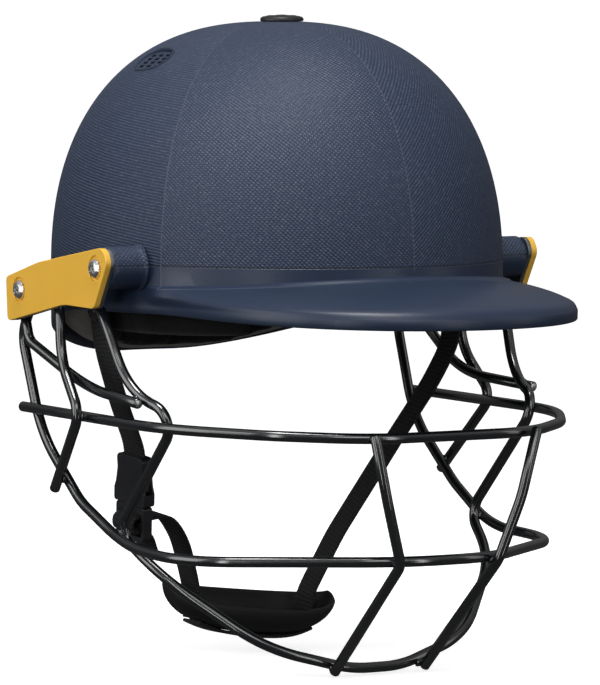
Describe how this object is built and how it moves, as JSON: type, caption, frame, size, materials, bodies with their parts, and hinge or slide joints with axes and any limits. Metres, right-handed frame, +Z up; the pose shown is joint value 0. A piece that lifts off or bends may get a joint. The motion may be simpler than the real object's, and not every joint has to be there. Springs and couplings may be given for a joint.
{
  "type": "cricket helmet",
  "caption": "Batting helmet with a peaked moulded shell, foam lining, bolted wire face grille, side plates and a chin strap with a release buckle and chin cup.",
  "frame": {"origin": "centre of the head opening at rim level, where the helmet sits on the wearer's head", "axes": "+Z up, -Y forward over the peak, -X to the wearer's right"},
  "size_m": [0.2464, 0.313, 0.3096],
  "materials": {
    "navy_shell": "satin, fine ribbed texture on the crown",
    "vent_plastic": "satin",
    "black_plastic": "satin",
    "grey_lining": "brushed cloth",
    "black_padding": "knit",
    "yellow_plate": "satin",
    "bracket_steel": "plain",
    "screw_zinc": "bright zinc",
    "insert_brass": "plain",
    "coated_wire": "satin powder coat",
    "webbing": "ribbed weave",
    "cup_rubber": "matt",
    "buckle_plastic": "satin"
  },
  "bodies": {
    "helmet": {"outer_shell": "navy_shell", "crown_button": "black_plastic", "button_stem": "black_plastic", "vent_insert_right": "vent_plastic", "vent_insert_left": "vent_plastic", "impact_liner": "grey_lining", "crown_pad": "black_padding", "comfort_band": "black_padding", "rear_pad": "black_padding", "side_pad_right": "black_padding", "side_pad_left": "black_padding", "side_plate_right": "yellow_plate", "side_plate_left": "yellow_plate", "grille_bracket_right": "bracket_steel", "grille_bracket_left": "bracket_steel", "plate_screws": "screw_zinc", "threaded_inserts": "insert_brass", "upper_ring": "coated_wire", "lower_ring": "coated_wire", "chin_bar": "coated_wire", "cheek_bar_right": "coated_wire", "cheek_bar_left": "coated_wire", "side_bar_right": "coated_wire", "side_bar_left": "coated_wire", "front_bar_right": "coated_wire", "front_bar_left": "coated_wire", "strap_anchor_right": "black_plastic", "strap_anchor_left": "black_plastic", "anchor_rivets": "screw_zinc"},
    "chin_strap": {"strap_right": "webbing", "strap_left": "webbing", "strap_under": "webbing", "strap_right_lower": "webbing", "chin_cup": "cup_rubber", "buckle_socket": "buckle_plastic"},
    "buckle_tongue": {"buckle_tongue": "buckle_plastic", "strap_tail": "webbing"},
    "prong_front": {"buckle_prong_front": "buckle_plastic"},
    "prong_rear": {"buckle_prong_rear": "buckle_plastic"}
  },
  "joints": [
    {"name": "chin_strap_swing", "type": "hinge", "parent": "helmet", "child": "chin_strap", "pos_m": [0, 0.003, 0.012], "axis": [1, 0, 0], "range_deg": [-30, 25]},
    {"name": "buckle_release", "type": "slide", "parent": "chin_strap", "child": "buckle_tongue", "axis": [0.0805, 0.1693, -0.9823], "range_m": [0, 0.018], "deforming": ["strap_right_lower"]},
    {"name": "prong_rear_squeeze", "type": "hinge", "parent": "buckle_tongue", "child": "prong_rear", "pos_m": [-0.07204, 0.02218, -0.08141], "axis": [0.9848, 0.1384, 0.1045], "range_deg": [0, 7], "stiffness_Nm_per_rad": 0.05},
    {"name": "prong_front_squeeze", "type": "hinge", "parent": "buckle_tongue", "child": "prong_front", "pos_m": [-0.07006, 0.00961, -0.08341], "axis": [0.9848, 0.1384, 0.1045], "range_deg": [-7, 0], "stiffness_Nm_per_rad": 0.05}
  ],
  "couplings": [
    {"joint": "prong_front_squeeze", "follows": "prong_rear_squeeze", "ratio": -1}
  ]
}
